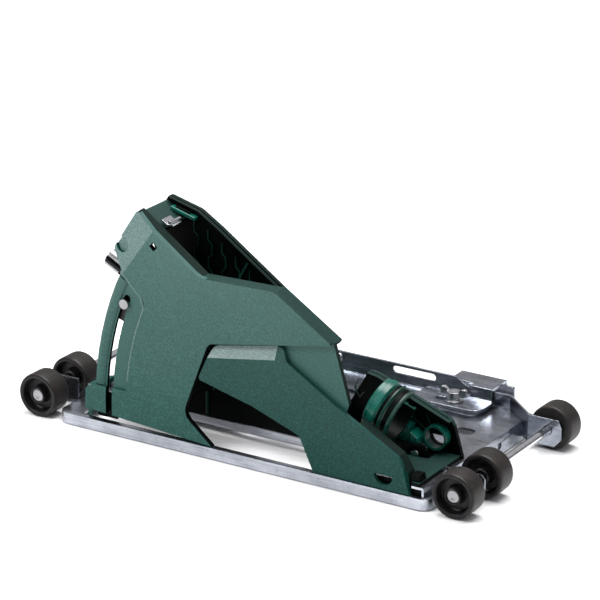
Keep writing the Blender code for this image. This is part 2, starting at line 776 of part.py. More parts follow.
def build_near_shell():
    """The large near side of the hood with its returned edges."""
    y0, y1 = HOOD_NEAR_Y, HOOD_NEAR_Y + HOOD_WALL
    wall = slab("Y", near_wall_outline(), y0, y1)
    lap = 0.6
    tongue = slab("Y", tongue_outline(), y1 - 0.3, y1 + 2.4)
    top = [(-254.0, 132.5), (-236.4, 158.0), (-187.0, 122.4), (-130.4, 123.8)]
    rims = [
        slab("Y", strip(top, -RIM), y1 - lap, RIM_FRONT_DEPTH + y0),
        slab("Y", strip([(-131.0, 123.9), (-88.4, 96.6)], -RIM), y1 - lap, RIM_REAR_DEPTH + y0),
        slab("Y", strip([(-88.6, 97.0), (-77.4, 59.0)], -RIM), y1 - 0.1, RIM_END_DEPTH + y0),
    ]
    centre = (PIVOT_X, PIVOT_Z)
    front = arc(centre, HOOD_R - 0.2, pivot_angle(HOOD_R, LEDGE_Z - 6), pivot_angle(HOOD_R, 102.0), 4)
    rims.append(slab("Y", strip(front, -RIM), y1 - lap, RIM_END_DEPTH + y0))
    boss = [(-278.6, HOOD_BASE_Z + 0.2), (-278.0, LEDGE_Z - 2.4), (-268.6, LEDGE_Z - 0.6)]
    rims.append(slab("Y", strip(boss, -RIM), y1 - lap, 22.0))
    slot = slab("Y", slot_outline(SLOT_WIDTH), -2.0, y1 + 1.0)
    dimple = rod((-247.5, y0 - 1, 134.0), (-247.5, y0 + 2.6, 134.0), 5.2, 20)
    peg = slab("Y", [(-221.5, 134.4), (-218.3, 137.6), (-221.5, 140.8), (-224.7, 137.6)], -1.0, y1 + 1)
    shell = fuse(wall, tongue, *rims)
    shell = cut(shell, pocket_cutter(), slot, dimple, peg)
    finish_part(shell, "hood_near_shell", "shell", (PIVOT_X, HOOD_NEAR_Y, PIVOT_Z))


def far_wall_outline():
    """The hood's far wall, with the arm that runs back to the pivot."""
    centre = (PIVOT_X, PIVOT_Z)
    front_r = HOOD_R - 1.0
    top = rounded(
        [
            (-254.8, 131.0, 4),
            (-235.4, 159.6, 2.5),
            (-211.0, 153.4, 8),
            (-195.5, 143.8, 5),
            (-148.0, 111.2, 4),
            (-146.0, 104.0, 2),
            (-113.0, 80.0, 5),
            (-110.5, 34.0, 10),
            (-98.0, PIVOT_Z + 7.5, 8),
            (-62.0, PIVOT_Z + 6.5, 0),
        ]
    )
    end = arc(centre, 7.5, 60, -90, 20)
    base_z = PIVOT_Z - 7.5
    foot = [(-258.0, base_z)]
    front = arc(centre, front_r, pivot_angle(front_r, 20.0), pivot_angle(front_r, NOSE_Z), 4)
    return top + end + foot + front


def build_far_shell():
    """The far wall, the nose between both walls, and the boss round the grinder collar."""
    y0, y1 = HOOD_FAR_Y - HOOD_FAR_WALL, HOOD_FAR_Y
    bore = circle((DISC_X, DISC_Z), COLLAR_BORE_R, 32)
    pin = circle((PIVOT_X, PIVOT_Z), PIVOT_PIN_R + GAP, 20)
    wall = slab("Y", far_wall_outline(), y0, y1, [bore, pin])
    nose_path = [(-253.5, 132.4), (-237.4, 155.9), (-234.8, 155.4), (-221.5, 146.4)]
    nose = slab("Y", strip(nose_path, -RIM), NOSE_SEAM_Y, y0 + 0.6)
    ridge = slab(
        "Y",
        strip([(-234.6, 159.0), (-211.5, 152.9), (-196.0, 143.2), (-149.0, 110.8)], -2.4),
        y0 - 3.0,
        y0 + 0.6,
    )
    shell = fuse(wall, nose, ridge)
    finish_part(shell, "hood_far_shell", "inner", (PIVOT_X, HOOD_FAR_Y, PIVOT_Z))


def build_collar():
    """A clamp ring for the grinder's neck on the far wall, split and drawn shut by a screw."""
    y0 = HOOD_FAR_Y + GAP
    y1 = y0 + COLLAR_LENGTH
    outer = COLLAR_BORE_R + COLLAR_WALL
    ring = turned(
        [
            (outer, 0.0),
            (outer, COLLAR_LENGTH),
            (COLLAR_BORE_R, COLLAR_LENGTH),
            (COLLAR_BORE_R, 0.0),
        ],
        (DISC_X, y0, DISC_Z),
        (0, 1, 0),
        36,
    )
    top_z = DISC_Z + outer
    tab_outline = box_outline(DISC_X - 6.0, DISC_X + 6.0, top_z - 1.6, top_z + 9.0)
    tab = slab("Y", tab_outline, y0 + 2, y1 - 1)
    ring = fuse(ring, tab)
    gap_outline = box_outline(DISC_X - 1.2, DISC_X + 1.2, top_z - 6, top_z + 12)
    split = slab("Y", gap_outline, y0 - 1, y1 + 1)
    screw_z, screw_y = DISC_Z + outer + 4.6, (y0 + 2 + y1) / 2
    bore = rod((DISC_X - 9, screw_y, screw_z), (DISC_X + 9, screw_y, screw_z), 2.0 + GAP, 16)
    finish_part(cut(ring, split, bore), "grinder_collar", "steel", (DISC_X, y0, DISC_Z))
    shank = rod((DISC_X - 8.5, screw_y, screw_z), (DISC_X + 6.8, screw_y, screw_z), 2.0, 16)
    head = rod((DISC_X + 6.0 + GAP, screw_y, screw_z), (DISC_X + 9.5, screw_y, screw_z), 3.5, 18)
    finish_part(fuse(head, shank), "collar_screw", "steel", (DISC_X, screw_y, screw_z))


def build_shell_screws():
    """Screws that hold the nose of the two shells together, heads on the far wall."""
    for number, (x, z) in enumerate(((-242.0, 136.0), (-226.0, 140.0)), 1):
        y = HOOD_FAR_Y + GAP
        profile = [(0.0, 0.0), (0.0, 2.2), (2.4, 2.2), (3.4, 1.4), (3.4, 0.0)]
        head = turned(profile, (x, y, z), (0, 1, 0), 16)
        finish_part(head, f"shell_screw_{number}", "steel", (x, y, z), smooth=True)


def build_nose_clip():
    """The small steel spring clip where the nose meets the near wall."""
    x, z = -219.5, 147.4
    y0, y1 = NOSE_SEAM_Y + 1.0, NOSE_SEAM_Y + 11.0
    leaf = slab("Y", strip([(x - 5, z + 3.6), (x, z + 0.6), (x + 4.5, z + 1.4)], 1.1), y0, y1)
    pin = rod((x + 1.0, y0 + 1, z + 2.6), (x + 1.0, y1 + 2.5, z + 2.6), 1.5, 14)
    clip = fuse(leaf, pin)
    finish_part(clip, "nose_clip", "steel", (x, y0, z))


def lock_axis():
    """Where the lock pin comes out of the hood's front, and which way."""
    root = on_pivot(HOOD_R - 6.0, pivot_angle(HOOD_R, 113.0))
    return Vector((root[0], 12.0, root[1])), Vector((-0.89, 0.0, 0.46)).normalized()


def build_lock_pin():
    """The chromed pin that is pressed to free the plunge lock, and its guide sleeve."""
    root, out = lock_axis()
    length = LOCK_PIN_OUT + 8.0
    profile = [
        (LOCK_PIN_R - 0.8, length),
        (0.0, length),
        (0.0, 0.0),
        (LOCK_PIN_R - 2.0, 0.0),
        (LOCK_PIN_R - 2.0, 9.0),
        (LOCK_PIN_R, 9.0),
        (LOCK_PIN_R, length - 0.8),
    ]
    pin = turned(profile[::-1], root, out, 24)
    finish_part(pin, "lock_pin", "steel", root, smooth=True)
    inner = LOCK_PIN_R - 2.0 + GAP
    sleeve = turned(
        [(inner + 2.0, 0.0), (inner + 2.0, 4.0), (inner, 4.0), (inner, 0.0)], root - out * 0.5, out, 20
    )
    stay = slab(
        "Y",
        rounded(
            [
                (root.x - 3, root.z - 2, 1),
                (root.x + 14, root.z - 9, 1),
                (root.x + 17, root.z - 3, 1),
                (root.x, root.z + 4, 1),
            ]
        ),
        root.y + inner + 1.0,
        root.y + inner + 4.0,
    )
    arm = slab(
        "Y",
        rounded(
            [
                (root.x + 8, root.z - 9, 1),
                (root.x + 16, root.z - 9, 1),
                (root.x + 16, root.z + 2, 1),
                (root.x + 8, root.z + 2, 1),
            ]
        ),
        root.y + inner + 1.0,
        HOOD_FAR_Y - HOOD_FAR_WALL - GAP,
    )
    finish_part(fuse(sleeve, stay, arm), "lock_sleeve", "black", root)


def build_depth_stop():
    """The block that slides behind the arc slot, its bolt through the slot, and the clamp knob."""
    y0 = HOOD_NEAR_Y + HOOD_WALL + GAP
    centre = (PIVOT_X, PIVOT_Z)
    a0 = SLOT_TOP_DEG + 0.9
    a1 = a0 + 4.2
    outer = HOOD_R - RIM - 1.2
    body = arc(centre, outer, a0 - 1.6, a1, 2) + arc(centre, SLOT_R - 8.0, a1, a0 - 1.6, 2)
    bolt_at = on_pivot(SLOT_R, a0 + 0.2)
    hole = circle(bolt_at, STOP_BOLT_R + GAP, 16)
    block = slab("Y", body, y0, y0 + 9.0, [hole])
    finish_part(block, "depth_stop_block", "black", (PIVOT_X, y0, PIVOT_Z))
    head_y = HOOD_NEAR_Y + POCKET_DEPTH - GAP
    head = rod((bolt_at[0], head_y - 2.2, bolt_at[1]), (bolt_at[0], head_y, bolt_at[1]), 3.4, 18)
    shank = rod((bolt_at[0], head_y - 1.0, bolt_at[1]), (bolt_at[0], y0 + 14.0, bolt_at[1]), STOP_BOLT_R, 16)
    finish_part(fuse(head, shank), "depth_stop_bolt", "steel", (PIVOT_X, head_y, PIVOT_Z))
    knob_y = y0 + 9.0 + GAP
    knob = turned(
        [(5.2, 0.0), (6.6, 1.5), (6.6, 6.0), (5.6, 7.0), (STOP_BOLT_R + GAP, 7.0), (STOP_BOLT_R + GAP, 0.0)],
        (bolt_at[0], knob_y, bolt_at[1]),
        (0, 1, 0),
        20,
    )
    finish_part(knob, "depth_stop_knob", "black", (bolt_at[0], knob_y, bolt_at[1]), smooth=True)


# ---------------------------------------------------------------- rear housing


def panel_outline():
    """The fixed near panel: a slanted leg from inside the hood's window down to the skid."""
    z = SKID_HEIGHT + GAP
    return rounded(
        [
            (-177.5, 78.0, 5),
            (-123.8, 88.4, 3),
            (-121.4, 79.0, 4),
            (-81.7, 54.9, 20),
            (-37.6, 30.6, 8),
            (-31.0, z, 0),
            (-101.5, z, 0),
            (-112.0, 31.0, 6),
            (-147.0, 43.4, 12),
            (-188.8, 53.6, 2),
        ]
    )


def build_leg_panel():
    """The leg panel with its dark returned edge, and the half-round hole below the pivot."""
    y0, y1 = PANEL_NEAR_Y, PANEL_NEAR_Y + PANEL_WALL
    half_hole = arc((PIVOT_X, PIVOT_Z), 6.8, 180, 360, 18)
    wall = slab("Y", panel_outline(), y0, y1, [half_hole])
    edge = [(-69.5, 47.9), (-40.2, 31.8), (-33.6, 22.0), (-31.5, SKID_HEIGHT + 1.2)]
    rim = slab("Y", strip(edge, -2.6), y1 - 0.6, y1 + PANEL_RIM_DEPTH)
    finish_part(fuse(wall, rim), "leg_panel", "shell", (PIVOT_X, y0, PIVOT_Z))


def housing_wall_outline():
    z = DECK_Z + GAP
    return rounded(
        [
            (-110.0, z, 0),
            (-108.5, 34.0, 12),
            (-92.5, 61.6, 3),
            (-84.5, 60.2, 10),
            (-31.0, 40.0, 8),
            (-23.6, z, 0),
        ]
    )


def build_rear_housing():
    """The far wall of the rear housing with its top ledge and round boss, and the floor across the sled."""
    y0, y1 = HOUSING_FAR_Y - HOUSING_WALL, HOUSING_FAR_Y
    boss_x, boss_z = -40.5, 28.0
    half_hole = arc((boss_x, boss_z), 6.4, 180, 360, 18)
    wall = slab("Y", housing_wall_outline(), y0, y1, [half_hole])
    ledge_path = [(-92.3, 61.0), (-84.6, 59.7), (-31.6, 39.6)]
    ledge = slab("Y", strip(ledge_path, -2.6), y0 - 3.8, y0 + 0.6)
    boss_profile = [(8.4, 0.0), (8.4, 7.0), (6.9, 7.0), (6.9, 0.0)]
    boss = turned(boss_profile, (boss_x, y0 - 6.4, boss_z), (0, 1, 0), 24)
    end_x = PIVOT_X + 25.3
    clear_y = PANEL_NEAR_Y + PANEL_WALL + PANEL_RIM_DEPTH + 0.8
    inner_y = HOOD_FAR_Y - HOOD_FAR_WALL - GAP
    arm_clear_x = PIVOT_X + 8.2 + 2.0
    floor = slab(
        "Z",
        [
            (end_x, 2.5),
            (end_x, y0 + 0.6),
            (arm_clear_x, y0 + 0.6),
            (arm_clear_x, inner_y),
            (PIVOT_X - 9.5, inner_y),
            (PIVOT_X - 9.5, inner_y - 3.0),
            (PIVOT_X + 14.0, clear_y),
            (PIVOT_X + 20.0, clear_y),
            (PIVOT_X + 20.0, 2.5),
        ],
        DECK_Z + GAP + 0.05,
        DECK_Z + GAP + 2.0,
    )
    housing = fuse(wall, ledge, boss, floor)
    finish_part(housing, "rear_housing", "inner", (PIVOT_X, HOUSING_FAR_Y, PIVOT_Z))


def build_socket():
    """The ribbed suction socket, open at its far upper side, held off the far wall by a web."""
    tilt = radians(SOCKET_TILT)
    along = Vector((cos(tilt), 0.0, -sin(tilt)))
    start = Vector((SOCKET_X, SOCKET_Y, SOCKET_Z)) - along * (SOCKET_LENGTH / 2)
    ribs = []
    for rib, width in ((3.0, 4.5), (11.0, 1.6), (17.0, 1.6)):
        ribs += [(SOCKET_R, rib), (SOCKET_R + 1.0, rib + 0.3)]
        ribs += [(SOCKET_R + 1.0, rib + width - 0.3), (SOCKET_R, rib + width)]
    inner = SOCKET_R - SOCKET_WALL
    bore = [(inner, SOCKET_LENGTH), (inner, 0.0)]
    profile = [(SOCKET_R, 0.0), *ribs, (SOCKET_R, SOCKET_LENGTH), *bore]
    tube = turned(profile, start, along, 32)
    web_y = HOUSING_FAR_Y - HOUSING_WALL - GAP
    web = slab(
        "Y",
        box_outline(SOCKET_X - 7, SOCKET_X + 1, SOCKET_Z - 8.0, SOCKET_Z - 1.0),
        SOCKET_Y + SOCKET_R - 1.2,
        web_y,
    )
    # the far upper quarter is open, beside the far wall's ledge
    open_quarter = slab(
        "Y",
        box_outline(SOCKET_X - 20, SOCKET_X + 20, SOCKET_Z + 1.5, SOCKET_Z + 25),
        SOCKET_Y + 5,
        SOCKET_Y + SOCKET_R + 3,
    )
    finish_part(
        fuse(cut(tube, open_quarter), web), "suction_socket", "inner", (SOCKET_X, SOCKET_Y, SOCKET_Z)
    )


def build_pivot_pin():
    """The pin that the hood swings on, from inside the hood's arm to the far wall."""
    start, end = HOOD_FAR_Y - HOOD_FAR_WALL, DECK_NEAR_Y - 0.6
    length = end - start
    r = PIVOT_PIN_R
    profile = [(r, 0.6), (r, length), (0.0, length), (0.0, 0.0), (r - 0.6, 0.0)][::-1]
    pin = turned(profile, (PIVOT_X, start, PIVOT_Z), (0, 1, 0), 20)
    finish_part(pin, "pivot_pin", "steel", (PIVOT_X, start, PIVOT_Z), smooth=True)


def shift_hood_group():
    """Moves all that stands on the skid's near side with the skid's rear end."""
    prefixes = (
        "hood_", "grinder_", "collar_", "shell_", "nose_", "lock_", "depth_", "leg_", "rear_",
        "suction_", "pivot_",
    )
    for obj in PARTS.objects:
        if obj.name.startswith(prefixes):
            obj.location.x += HOOD_SHIFT * MM


clear_scene()
PARTS = collection("wall_chaser")
build_wheels()
build_axles()
build_skid()
build_deck()
build_side_rail()
build_rivets()
build_guide_bracket()
build_wing_screw()
build_near_shell()
build_far_shell()
build_collar()
build_shell_screws()
build_nose_clip()
build_lock_pin()
build_depth_stop()
build_leg_panel()
build_rear_housing()
build_socket()
build_pivot_pin()
shift_hood_group()
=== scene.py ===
"""The wall chaser's looks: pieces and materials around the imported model, a floor, lights and a camera.

Places are in millimetres along the sled, as the part itself is drawn: X from the rear axle towards the
front (negative), Y from the near side to the far side, Z up from the floor. place() turns them into the
object's frame, whose origin is the middle of its base.
"""

import json
from math import atan2, cos, degrees, pi, radians, sin, sqrt

import bmesh
import bpy
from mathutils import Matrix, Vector


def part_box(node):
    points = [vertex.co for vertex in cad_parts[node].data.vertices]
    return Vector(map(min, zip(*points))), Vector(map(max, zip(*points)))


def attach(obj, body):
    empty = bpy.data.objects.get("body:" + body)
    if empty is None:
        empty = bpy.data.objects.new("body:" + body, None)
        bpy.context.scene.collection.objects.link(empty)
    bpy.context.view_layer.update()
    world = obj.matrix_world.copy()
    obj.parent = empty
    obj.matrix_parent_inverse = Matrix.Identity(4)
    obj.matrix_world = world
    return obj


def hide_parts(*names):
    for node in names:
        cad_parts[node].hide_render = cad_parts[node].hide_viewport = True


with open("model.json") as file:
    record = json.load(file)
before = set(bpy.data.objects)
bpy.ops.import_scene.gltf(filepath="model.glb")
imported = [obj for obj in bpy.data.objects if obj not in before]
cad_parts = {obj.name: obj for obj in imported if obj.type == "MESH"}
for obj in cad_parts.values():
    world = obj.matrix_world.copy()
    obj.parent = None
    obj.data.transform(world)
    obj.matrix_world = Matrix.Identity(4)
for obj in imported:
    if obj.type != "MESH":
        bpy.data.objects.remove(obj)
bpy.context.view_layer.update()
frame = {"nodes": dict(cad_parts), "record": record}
NODES = frame["nodes"]
BODY = {node: body for body, members in frame["record"]["behaviour"]["bodies"].items() for node in members}

MM = 0.001
MIDDLE = Vector((-158.8, 82.5, 0.0))  # the object's origin, in sled millimetres
PIVOT = (-50.0, 18.0)  # X and Z of the hood's pivot
WHEEL_R = 15.0
EDGE_ANGLE = 28.0  # soften() rounds edges sharper than this, in degrees
HOOD_NEAR_Y = 1.0
HOOD_WALL = 3.8
HOOD_INNER_Y = 40.5  # inner face of the hood's far wall
HOUSING_INNER_Y = 55.5  # inner face of the rear housing's far wall
CREASE = ((-224.7, 143.8), (-244.9, 116.3))  # the fold that sets off the nose facet
FACET_FALL = 0.2  # how far the nose facet falls back for each mm in front of the fold
NEAR_WALL_END = 5.6  # what lies nearer than this Y belongs to a near wall
NOSE_HOLE = (-247.5, 134.0)  # the blind round hole in the nose
PEG_HOLE = (-221.5, 137.6)  # the small hole behind the fold
SLOT_RADII = (206.6, 212.4)  # the arc slot's walls, from the pivot
RECESS_R = 195.6  # the rear edge of the recess round the slot, from the pivot
FRONT_BEAD_R = 216.8  # the rounded front edge beside the slot, from the pivot
PANEL_FOLD = ((-181.4, 69.7), (-121.6, 79.9))  # the line under the leg panel's leaned upper edge
PANEL_FALL = 0.42  # how far that edge falls back for each mm above the line
PANEL_FOLD_END = -130.0  # X where the leaned edge stops
HOUSING_BOSS = (-40.5, 28.0)
SOCKET_MIDDLE = Vector((-63.4, 32.0, 48.5))
SOCKET_TILT = 20.0  # how far the socket's axis dips towards the rear, in degrees
SOCKET_R, SOCKET_WALL, SOCKET_LENGTH = 18.0, 2.5, 19.0
LENS = 182.4
CAMERA_PLACE = (0.9873, -1.5915, 0.7729)
CAMERA_TILT, CAMERA_TURN = 69.92, 31.89  # degrees


def place(x, y, z):
    return (Vector((x, y, z)) - MIDDLE) * MM


def sled_place(point):
    """The place in sled millimetres of a point in the object's frame."""
    return point / MM + MIDDLE


# ---------------------------------------------------------------- materials


class Shader:
    """A Principled material with short ways to add nodes to it."""

    def __init__(self, name, colour, roughness, metallic=0.0, **values):
        self.material = bpy.data.materials.new(name)
        self.material.use_nodes = True
        self.tree = self.material.node_tree
        self.main = self.tree.nodes["Principled BSDF"]
        self.main.inputs["Base Color"].default_value = (*colour, 1.0)
        self.main.inputs["Roughness"].default_value = roughness
        self.main.inputs["Metallic"].default_value = metallic
        for key, value in values.items():
            self.main.inputs[key.replace("_", " ")].default_value = value
        self.material.diffuse_color = (*colour, 1.0)
        self.coords = self.tree.nodes.new("ShaderNodeTexCoord").outputs["Object"]
        self.heights = []

    def node(self, kind, **values):
        made = self.tree.nodes.new(kind)
        for key, value in values.items():
            if key in made.inputs:
                made.inputs[key].default_value = value
            else:
                setattr(made, key, value)
        return made

    def link(self, output, target):
        self.tree.links.new(output, target)

    def stretched(self, x, y, z):
        """The object's coordinates, scaled along each axis, for streaks."""
        mapping = self.node("ShaderNodeMapping")
        mapping.inputs["Scale"].default_value = (x, y, z)
        self.link(self.coords, mapping.inputs["Vector"])
        return mapping.outputs["Vector"]

    def noise(self, scale, detail=2.0, roughness=0.5, coords=None):
        made = self.node("ShaderNodeTexNoise", Scale=scale, Detail=detail, Roughness=roughness)
        self.link(coords or self.coords, made.inputs["Vector"])
        return made.outputs["Fac"]

    def ramp(self, source, *stops):
        """Stops are (place, colour or grey)."""
        made = self.node("ShaderNodeValToRGB")
        elements = made.color_ramp.elements
        while len(elements) < len(stops):
            elements.new(0.5)
        for element, (where, value) in zip(elements, stops):
            element.position = where
            grey = not isinstance(value, tuple)
            element.color = (value, value, value, 1.0) if grey else (*value, 1.0)
        self.link(source, made.inputs["Fac"])
        return made.outputs["Color"]

    def mix(self, factor, first, second, mode="MIX"):
        made = self.node("ShaderNodeMix", data_type="RGBA", blend_type=mode)
        for key, value in (("Factor", factor), ("A", first), ("B", second)):
            socket = next(s for s in made.inputs if s.name == key and (key == "Factor" or s.type == "RGBA"))
            if isinstance(value, tuple):
                socket.default_value = (*value, 1.0)
            elif isinstance(value, (int, float)):
                socket.default_value = value
            else:
                self.link(value, socket)
        return next(s for s in made.outputs if s.type == "RGBA")

    def height(self, low, high):
        """0 to 1 over a range of heights above the object's base, in millimetres."""
        split = self.node("ShaderNodeSeparateXYZ")
        self.link(self.coords, split.inputs["Vector"])
        spread = self.node("ShaderNodeMapRange")
        spread.inputs["From Min"].default_value = low * MM
        spread.inputs["From Max"].default_value = high * MM
        self.link(split.outputs["Z"], spread.inputs["Value"])
        return spread.outputs["Result"]

    def colour(self, source):
        self.link(source, self.main.inputs["Base Color"])

    def rough(self, source, low, high):
        spread = self.node("ShaderNodeMapRange")
        spread.inputs["To Min"].default_value = low
        spread.inputs["To Max"].default_value = high
        self.link(source, spread.inputs["Value"])
        self.link(spread.outputs["Result"], self.main.inputs["Roughness"])

    def bump(self, source, strength, distance):
        """Adds a layer of relief, distance in millimetres."""
        made = self.node("ShaderNodeBump", Strength=strength, Distance=distance * MM)
        self.link(source, made.inputs["Height"])
        if self.heights:
            self.link(self.heights[-1], made.inputs["Normal"])
        self.heights.append(made.outputs["Normal"])
        self.link(made.outputs["Normal"], self.main.inputs["Normal"])


def grained_plastic(name, dark, mid, light, grain=1.0, rough=(0.4, 0.58), shine=0.28, dust_and_sheen=0.2):
    """Moulded plastic with a fine spark-eroded grain, and a pale painted sheen that thickens upwards in
    clouds, standing in for the light on the upper faces.
    """
    s = Shader(name, mid, 0.5, Specular_IOR_Level=shine)
    fine = s.noise(1900.0, 3.0, 0.7)
    soft = s.noise(1000.0, 2.0, 0.6)
    cloud = s.noise(14.0, 3.0, 0.5)
    speckle = s.mix(0.5, fine, soft)
    base = s.ramp(speckle, (0.38, dark), (0.52, mid), (0.68, light))
    # painted sheen: a pale tint that grows with height, broken by clouds, standing in for the light falling
    # on the upper faces
    painted_sheen = s.ramp(s.mix(0.25, s.height(20.0, 165.0), cloud), (0.15, 0.0), (0.95, dust_and_sheen))
    s.colour(s.mix(painted_sheen, base, (0.27, 0.36, 0.35)))
    s.rough(speckle, *rough)
    s.bump(soft, 0.5 * grain, 0.12)
    s.bump(fine, 0.5 * grain, 0.08)
    return s.material


def smooth_plastic(name, low, high, rough=(0.28, 0.42), relief=0.25, shine=0.5):
    """Moulded plastic that keeps a shine, with faint flow marks."""
    s = Shader(name, low, 0.35, Specular_IOR_Level=shine)
    cloud = s.noise(45.0, 4.0, 0.55)
    fine = s.noise(900.0, 2.0, 0.5)
    s.colour(s.ramp(cloud, (0.35, low), (0.68, high)))
    s.rough(s.mix(0.5, cloud, fine), *rough)
    s.bump(fine, relief, 0.06)
    return s.material


def zinc_sheet(name, bright=(0.50, 0.515, 0.56), dull=(0.27, 0.29, 0.33), rough=(0.14, 0.34)):
    """Zinc-plated sheet steel: rolling streaks, passivation clouds and small scuffs."""
    s = Shader(name, bright, 0.25, 1.0)
    cloud = s.noise(60.0, 5.0, 0.62)
    streak = s.noise(1.0, 3.0, 0.6, s.stretched(40.0, 900.0, 900.0))
    scuff = s.noise(420.0, 4.0, 0.75)
    blend = s.mix(0.45, cloud, streak)
    tone = s.ramp(blend, (0.34, dull), (0.62, bright))
    marks = s.ramp(scuff, (0.30, (0.55, 0.56, 0.58)), (0.42, (1.0, 1.0, 1.0)))
    s.colour(s.mix(0.7, tone, marks, "MULTIPLY"))
    s.rough(blend, *rough)
    s.bump(streak, 0.12, 0.04)
    s.bump(cloud, 0.2, 0.18)
    return s.material


def turned_steel(name, tone=(0.74, 0.745, 0.77), rough=(0.08, 0.2)):
    """Plated turned steel with fine tool marks."""
    s = Shader(name, tone, 0.14, 1.0)
    cloud = s.noise(180.0, 3.0, 0.5)
    fine = s.noise(2600.0, 2.0, 0.5)
    s.colour(s.ramp(cloud, (0.3, tuple(c * 0.8 for c in tone)), (0.65, tone)))
    s.rough(cloud, *rough)
    s.bump(fine, 0.12, 0.03)
    return s.material


def wheel_plastic(name, base_dark, base_light, brown):
    """Black moulded wheel: satin, with brown dust on the tread and in the grain."""
    s = Shader(name, (0.02, 0.02, 0.022), 0.5, Specular_IOR_Level=0.22)
    fine = s.noise(1300.0, 3.0, 0.6)
    dust_and_sheen = s.noise(110.0, 4.0, 0.6)
    base = s.ramp(fine, (0.35, base_dark), (0.7, base_light))
    share = s.ramp(dust_and_sheen, (0.42, 0.0), (0.78, brown))
    s.colour(s.mix(share, base, (0.050, 0.038, 0.032)))
    s.rough(s.mix(0.5, fine, dust_and_sheen), 0.3, 0.52)
    s.bump(fine, 0.4, 0.1)
    return s.material


MATERIALS = {
    "shell": grained_plastic(
        "hood green", (0.003, 0.040, 0.032), (0.007, 0.066, 0.055), (0.040, 0.135, 0.120)
    ),
    # a darker copy of the hood green: painted shade on the leg panel and on the housing's outer face
    "panel": grained_plastic(
        "panel green, painted shade", (0.001, 0.026, 0.020), (0.002, 0.044, 0.036), (0.018, 0.092, 0.080),
        shine=0.18, dust_and_sheen=0.12,
    ),
    # a paler copy of the hood green: painted light on the nose facet and painted highlights on rounded edges
    "facet": grained_plastic(
        "hood green, painted light", (0.040, 0.090, 0.082), (0.085, 0.155, 0.146), (0.23, 0.31, 0.30)
    ),
    # a still paler copy of the hood green: a painted highlight on the leg panel's leaned chamfer
    "glint": grained_plastic(
        "hood green, painted highlight", (0.11, 0.17, 0.16), (0.19, 0.26, 0.255), (0.37, 0.44, 0.43)
    ),
    # a darker copy of the hood green: painted shade on rims and edge faces
    "rim": grained_plastic(
        "rim green, painted shade", (0.001, 0.006, 0.0045), (0.003, 0.012, 0.0095), (0.010, 0.024, 0.019),
        0.5, (0.5, 0.7), 0.12, 0.01,
    ),
    # a near-black copy of the green: painted shade on inner faces, hole walls, undersides and what is seen
    # through openings
    "inner": smooth_plastic(
        "inner green, painted shade", (0.0001, 0.0008, 0.0005), (0.0002, 0.0016, 0.0011), (0.35, 0.5), 0.2, 0.06
    ),
    # a darkened copy of the green: painted shade on the inner ribs and the socket, lighter than the inner
    # faces
    "line": smooth_plastic("rib green, painted shade", (0.001, 0.022, 0.015), (0.003, 0.045, 0.032), (0.25, 0.4), 0.2, 0.35),
    # a dark copy of the green: painted shade in the nose's blind hole
    "deep": smooth_plastic("hole green, painted shade", (0.0006, 0.030, 0.018), (0.001, 0.050, 0.030), (0.5, 0.6), 0.2, 0.1),
    "lit": smooth_plastic("bright inner green, painted shade", (0.001, 0.060, 0.042), (0.003, 0.13, 0.095), (0.2, 0.35)),
    # a darker copy of the green: painted shade on ledges and top faces
    "ledge": grained_plastic(
        "ledge green, painted shade", (0.003, 0.018, 0.014), (0.007, 0.030, 0.025), (0.016, 0.050, 0.042),
        0.5, (0.5, 0.7), 0.15, 0.03,
    ),
    "wheel": wheel_plastic("wheel black", (0.003, 0.003, 0.0035), (0.011, 0.011, 0.013), 0.3),
    "tread": wheel_plastic("tread black", (0.010, 0.009, 0.0085), (0.026, 0.023, 0.022), 0.45),
    "zinc": zinc_sheet("zinc sheet"),
    # a darker copy of the zinc: painted shade on faces turned to the rear and on the side rail
    "rail": zinc_sheet("rail zinc, painted shade", (0.40, 0.43, 0.48), (0.16, 0.18, 0.21), (0.12, 0.3)),
    "steel": turned_steel("plated steel"),
    "dull": turned_steel("dull steel", (0.30, 0.30, 0.31), (0.22, 0.4)),
    # near-black steel: a painted dark reflection on the lock pin
    "painted_reflection": turned_steel("steel, painted dark reflection", (0.02, 0.02, 0.022), (0.12, 0.2)),
    "black": smooth_plastic(
        "black plastic", (0.004, 0.004, 0.0045), (0.010, 0.010, 0.011), (0.3, 0.45), 0.25, 0.3
    ),
}


def wear(obj, *looks):
    for look in looks:
        obj.data.materials.append(MATERIALS[look])


# ---------------------------------------------------------------- making pieces


def link_piece(name, mesh, look, body, nodes=(), looks=()):
    piece = bpy.data.objects.new(name, mesh)
    bpy.context.scene.collection.objects.link(piece)
    wear(piece, look, *looks)
    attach(piece, body)
    for node in nodes:
        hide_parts(node)
    return piece


def soften(piece, width, segments=2):
    rounding = piece.modifiers.new("rounded edges", "BEVEL")
    rounding.width = width * MM
    rounding.segments = segments
    rounding.limit_method = "ANGLE"
    rounding.angle_limit = radians(EDGE_ANGLE)
    rounding.miter_outer = "MITER_ARC"
    rounding.harden_normals = True


